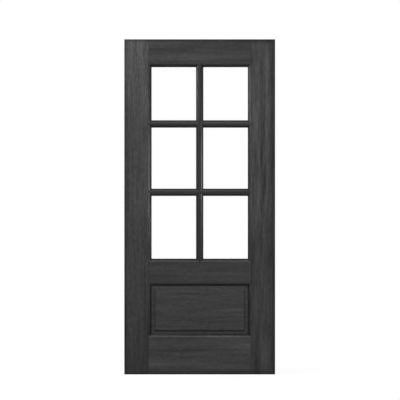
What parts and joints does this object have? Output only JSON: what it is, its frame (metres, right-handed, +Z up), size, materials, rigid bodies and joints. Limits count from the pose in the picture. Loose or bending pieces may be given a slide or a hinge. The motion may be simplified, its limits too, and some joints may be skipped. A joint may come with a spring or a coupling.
{
  "type": "front door leaf",
  "caption": "Dark stained hardwood front door leaf: rows of glazed lights between moulded bars, above a raised panel, with sealed glass units held by mitred beads.",
  "frame": {"origin": "middle of the bottom edge of the leaf, at mid thickness", "axes": "+Z up the leaf, +X to the right seen from the front, +Y from the front face to the back face"},
  "size_m": [0.9144, 0.0444, 2.032],
  "materials": {
    "stained_wood": "charcoal stained open-grained hardwood, satin",
    "clear_glass": "clear polished",
    "spacer_metal": "mill finish",
    "edge_seal": "matt black",
    "glazing_tape": "matt black",
    "setting_block": "matt black",
    "dowel_wood": "plain beech"
  },
  "bodies": {
    "root": {"bead_lower_left_bottom": "stained_wood", "bead_lower_left_left": "stained_wood", "bead_lower_left_right": "stained_wood", "bead_lower_left_top": "stained_wood", "bead_lower_right_bottom": "stained_wood", "bead_lower_right_left": "stained_wood", "bead_lower_right_right": "stained_wood", "bead_lower_right_top": "stained_wood", "bead_middle_left_bottom": "stained_wood", "bead_middle_left_left": "stained_wood", "bead_middle_left_right": "stained_wood", "bead_middle_left_top": "stained_wood", "bead_middle_right_bottom": "stained_wood", "bead_middle_right_left": "stained_wood", "bead_middle_right_right": "stained_wood", "bead_middle_right_top": "stained_wood", "bead_upper_left_bottom": "stained_wood", "bead_upper_left_left": "stained_wood", "bead_upper_left_right": "stained_wood", "bead_upper_left_top": "stained_wood", "bead_upper_right_bottom": "stained_wood", "bead_upper_right_left": "stained_wood", "bead_upper_right_right": "stained_wood", "bead_upper_right_top": "stained_wood", "bottom_rail": "stained_wood", "edge_seals": "edge_seal", "front_glazing_tape": "glazing_tape", "inner_pane_lower_left": "clear_glass", "inner_pane_lower_right": "clear_glass", "inner_pane_middle_left": "clear_glass", "inner_pane_middle_right": "clear_glass", "inner_pane_upper_left": "clear_glass", "inner_pane_upper_right": "clear_glass", "joint_dowels": "dowel_wood", "left_stile": "stained_wood", "lock_rail": "stained_wood", "lower_left_bar": "stained_wood", "lower_right_bar": "stained_wood", "outer_pane_lower_left": "clear_glass", "outer_pane_lower_right": "clear_glass", "outer_pane_middle_left": "clear_glass", "outer_pane_middle_right": "clear_glass", "outer_pane_upper_left": "clear_glass", "outer_pane_upper_right": "clear_glass", "raised_panel": "stained_wood", "rear_glazing_tape": "glazing_tape", "right_stile": "stained_wood", "setting_blocks": "setting_block", "spacer_lower_left": "spacer_metal", "spacer_lower_right": "spacer_metal", "spacer_middle_left": "spacer_metal", "spacer_middle_right": "spacer_metal", "spacer_upper_left": "spacer_metal", "spacer_upper_right": "spacer_metal", "top_rail": "stained_wood", "upper_left_bar": "stained_wood", "upper_right_bar": "stained_wood", "vertical_bar": "stained_wood"}
  },
  "joints": []
}
